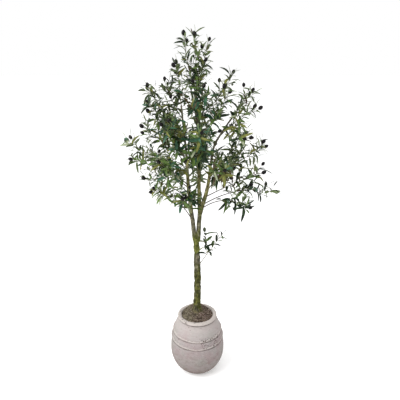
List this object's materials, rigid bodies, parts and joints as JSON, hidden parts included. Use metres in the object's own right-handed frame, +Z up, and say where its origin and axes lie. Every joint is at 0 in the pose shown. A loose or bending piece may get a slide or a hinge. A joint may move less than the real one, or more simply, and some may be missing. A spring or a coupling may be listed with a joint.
{
  "type": "artificial olive tree in a pot",
  "caption": "Tall artificial olive tree: mossy trunk forking into three stems, open sprays of narrow leaves with dark olives, in a round-shouldered earthenware jar with two raised cords.",
  "frame": {"origin": "centre of the jar's flat foot, on the surface that it stands on", "axes": "+Z up along the jar's axis; +X towards the side with the low right bough and the low sprig; the pictured front faces -Y"},
  "size_m": [0.9041, 0.7643, 2.1333],
  "materials": {
    "pot": "matte",
    "fill": "matte",
    "bark": "matte",
    "foliage": "matte"
  },
  "bodies": {
    "root": {"pot": "pot", "soil": "fill", "trunk": "bark", "stem_left": "bark", "stem_middle": "bark", "stem_right": "bark", "foliage_top": "foliage", "foliage_top_left": "foliage", "foliage_top_right": "foliage", "foliage_left_peak": "foliage", "foliage_right_peak": "foliage", "bough_right_low": "bark", "foliage_right_low": "foliage", "bough_right_droop": "bark", "foliage_right_droop": "foliage", "bough_left_low": "bark", "foliage_left_low": "foliage", "foliage_left_front": "foliage", "foliage_left_core": "foliage", "bough_left_mid_low": "bark", "foliage_left_mid_low": "foliage", "bough_right_mid_low": "bark", "foliage_right_mid_low": "foliage", "bough_right_mid": "bark", "foliage_right_mid": "foliage", "bough_right_upper": "bark", "foliage_right_upper": "foliage", "foliage_right_core": "foliage", "bough_left_mid": "bark", "foliage_left_mid": "foliage", "bough_left_mid_high": "bark", "foliage_left_mid_high": "foliage", "foliage_left_upper": "foliage", "foliage_left_fore": "foliage", "foliage_left_high": "foliage", "foliage_left_crest": "foliage", "foliage_right_high": "foliage", "foliage_right_crest": "foliage", "foliage_front_left": "foliage", "foliage_front_mid": "foliage", "bough_front_right": "bark", "foliage_front_right": "foliage", "bough_front_left_low": "bark", "foliage_front_left_low": "foliage", "foliage_front_high": "foliage", "bough_back_right_low": "bark", "foliage_back_right_low": "foliage", "bough_back_low": "bark", "foliage_back_low": "foliage", "bough_back_left_low": "bark", "foliage_back_left_low": "foliage", "foliage_back_right": "foliage", "foliage_back_mid": "foliage", "foliage_back_left": "foliage", "foliage_back_high": "foliage", "foliage_heart": "foliage", "foliage_low_sprig": "foliage"}
  },
  "joints": []
}
